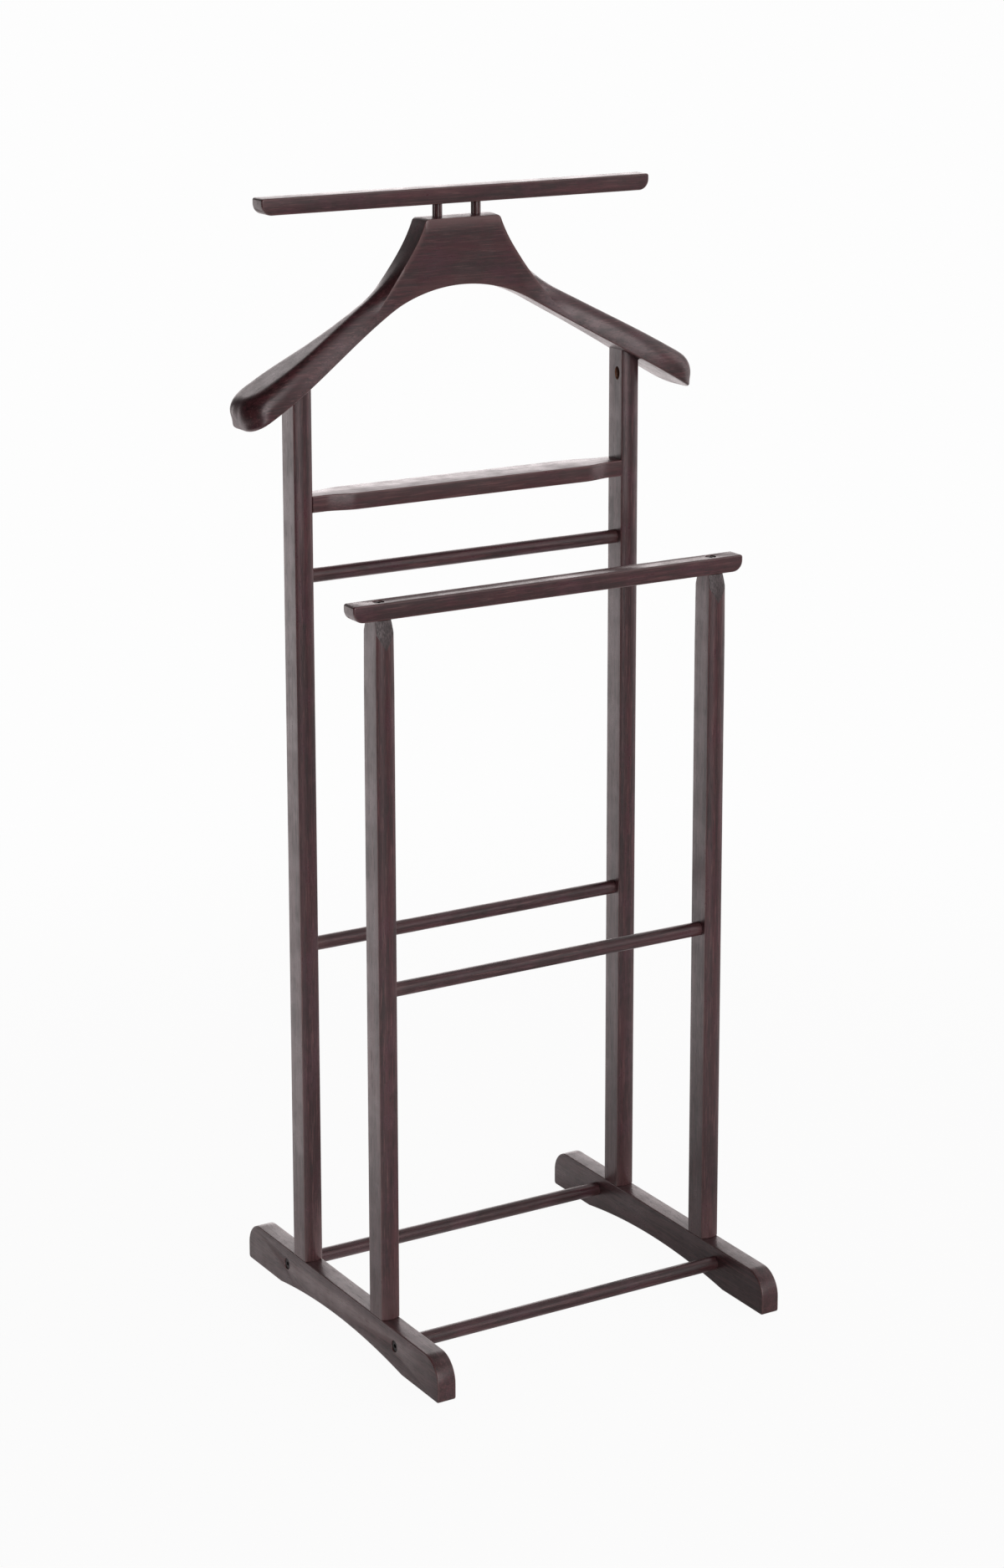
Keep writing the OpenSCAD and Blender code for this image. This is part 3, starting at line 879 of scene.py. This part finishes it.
# Soft panels all round the stand: azimuth, elevation, inner and outer half angle, brightness
PANELS = (
    (-153, -14, 8, 30, 1.90), (30, -14, 6, 30, 0.20), (60, -14, 6, 30, 0.35),
    (90, -14, 6, 30, 0.90), (120, -14, 6, 30, 0.30), (150, -14, 6, 30, 1.50),
    (-150, 14, 6, 24, 0.20), (-4, 14, 17, 31, 3.60), (30, 34, 8, 26, 0.90),
    (66, 14, 6, 30, 1.80), (120, 16, 6, 30, 0.40), (152, 17, 9, 30, 1.80),
    (176, 34, 8, 24, 0.85), (95, 46, 8, 36, 1.00),
)


def camera_switch(tree, seen, unseen):
    """What the camera sees against what lights the stand, for the floor and the backdrop."""
    path = tree.nodes.new("ShaderNodeLightPath")
    mix = tree.nodes.new("ShaderNodeMixShader")
    tree.links.new(path.outputs["Is Camera Ray"], mix.inputs["Fac"])
    tree.links.new(unseen, mix.inputs[1])
    tree.links.new(seen, mix.inputs[2])
    return mix.outputs["Shader"]


def emission(nodes, strength, color=(1, 1, 1, 1)):
    n = nodes.tree.nodes.new("ShaderNodeEmission")
    n.inputs["Color"].default_value = color
    nodes.link(strength, n.inputs["Strength"])
    return n.outputs["Emission"]


def diffuse(nodes, grey):
    n = nodes.tree.nodes.new("ShaderNodeBsdfDiffuse")
    nodes.link(grey, n.inputs["Color"])
    return n.outputs["BSDF"]


def both(nodes, a, b):
    n = nodes.tree.nodes.new("ShaderNodeAddShader")
    nodes.link(a, n.inputs[0])
    nodes.link(b, n.inputs[1])
    return n.outputs["Shader"]


def floor_glow(ground, radius):
    """The floor's brightness from its zones, which blend into each other."""
    blend = 0.1
    split = ground.tree.nodes.new("ShaderNodeSeparateXYZ")
    ground.link(ground.coords, split.inputs["Vector"])
    # 1 behind and to the left of the stand, 0 in front of it and to the right
    behind = ground.math("SUBTRACT", split.outputs["Y"], split.outputs["X"])
    behind = ground.range(behind, -0.2, 0.2)
    total = 0.0
    for lo, hi, half, bright in FLOOR_ZONES:
        inside = ground.range(radius, lo - blend, lo + blend) if lo else 1.0
        inside = ground.math("SUBTRACT", inside, ground.range(radius, hi - blend, hi + blend))
        part = behind if half == "back" else ground.math("SUBTRACT", 1.0, behind)
        zone = ground.math("MULTIPLY", ground.math("MULTIPLY", inside, part), bright)
        total = ground.math("ADD", total, zone)
    return total


def make_floor():
    """A round floor, near-white to the camera, with a faint shadow under the stand."""
    steps = 96
    ring = [2 * math.pi * k / steps for k in range(steps)]
    rim = [(FLOOR_R * math.cos(a), FLOOR_R * math.sin(a), 0) for a in ring]
    mesh = bpy.data.meshes.new("floor")
    mesh.from_pydata(rim, [], [tuple(range(steps))])
    ground = Nodes("floor_white")
    ground.tree.nodes.remove(ground.shader)
    length = ground.tree.nodes.new("ShaderNodeVectorMath")
    length.operation = "LENGTH"
    ground.link(ground.coords, length.inputs[0])
    radius = length.outputs["Value"]
    # The share of the floor's white that a shadow can darken
    shaded = ground.range(radius, 0.6, 1.6, 0.035, 0.0)
    plain = emission(ground, ground.math("SUBTRACT", WHITE, shaded))
    seen = both(ground, plain, diffuse(ground, shaded))
    glow = emission(ground, floor_glow(ground, radius), WARMTH)
    unseen = both(ground, glow, diffuse(ground, (0.4, 0.4, 0.4, 1)))
    output = ground.tree.nodes["Material Output"]
    ground.link(camera_switch(ground.tree, seen, unseen), output.inputs["Surface"])
    mesh.materials.append(ground.mat)
    link_object("floor", mesh)


def panel_glow(tree, direction, az, el, inner, outer, bright):
    """One soft panel: full brightness inside its inner angle, none past its outer one."""
    a, e = math.radians(az), math.radians(el)
    dot = tree.nodes.new("ShaderNodeVectorMath")
    dot.operation = "DOT_PRODUCT"
    tree.links.new(direction, dot.inputs[0])
    dot.inputs[1].default_value = (
        math.sin(a) * math.cos(e), -math.cos(a) * math.cos(e), math.sin(e)
    )
    ramp = tree.nodes.new("ShaderNodeMapRange")
    ramp.interpolation_type = "SMOOTHSTEP"
    tree.links.new(dot.outputs["Value"], ramp.inputs["Value"])
    ramp.inputs["From Min"].default_value = math.cos(math.radians(outer))
    ramp.inputs["From Max"].default_value = math.cos(math.radians(inner))
    ramp.inputs["To Max"].default_value = bright
    return ramp.outputs["Result"]


def make_world():
    """A white backdrop for the camera, and soft panels for the stand."""
    world = bpy.data.worlds.new("studio")
    scene.world = world
    world.use_nodes = True
    tree = world.node_tree
    background = tree.nodes["Background"]
    background.inputs["Color"].default_value = WARMTH
    direction = tree.nodes.new("ShaderNodeTexCoord").outputs["Generated"]
    glow = None
    for panel in PANELS:
        add = tree.nodes.new("ShaderNodeMath")
        add.operation = "ADD"
        tree.links.new(panel_glow(tree, direction, *panel), add.inputs[0])
        add.inputs[1].default_value = 0.0
        if glow:
            tree.links.new(glow, add.inputs[1])
        glow = add.outputs["Value"]
    tree.links.new(glow, background.inputs["Strength"])
    backdrop = tree.nodes.new("ShaderNodeBackground")
    backdrop.inputs["Color"].default_value = (WHITE, WHITE, WHITE, 1)
    tree.links.new(
        camera_switch(tree, backdrop.outputs["Background"], background.outputs["Background"]),
        tree.nodes["World Output"].inputs["Surface"],
    )


def make_camera():
    """To the left in front of the stand and above it, with a small vertical shift."""
    place = Vector((-1545.25, -2558.93, 1358.79)) * MM
    azimuth, pitch, roll = math.radians(-31.0207), math.radians(12.1379), math.radians(-0.0652)
    forward = Vector((
        -math.sin(azimuth) * math.cos(pitch), math.cos(azimuth) * math.cos(pitch), -math.sin(pitch)
    ))
    right = Vector((math.cos(azimuth), math.sin(azimuth), 0))
    up = right.cross(forward)
    right, up = (
        right * math.cos(roll) + up * math.sin(roll), up * math.cos(roll) - right * math.sin(roll)
    )
    data = bpy.data.cameras.new("camera")
    data.sensor_width = 36
    data.lens = 78.7513
    data.shift_y = -0.158667
    data.clip_start, data.clip_end = 0.1, 200
    camera = link_object("camera", data)
    turn = Matrix((right, up, -forward)).transposed()
    camera.matrix_world = Matrix.Translation(place) @ turn.to_4x4()
    scene.camera = camera


make_floor()
make_world()
make_camera()
scene.view_settings.view_transform = "Standard"

bpy.context.view_layer.update()
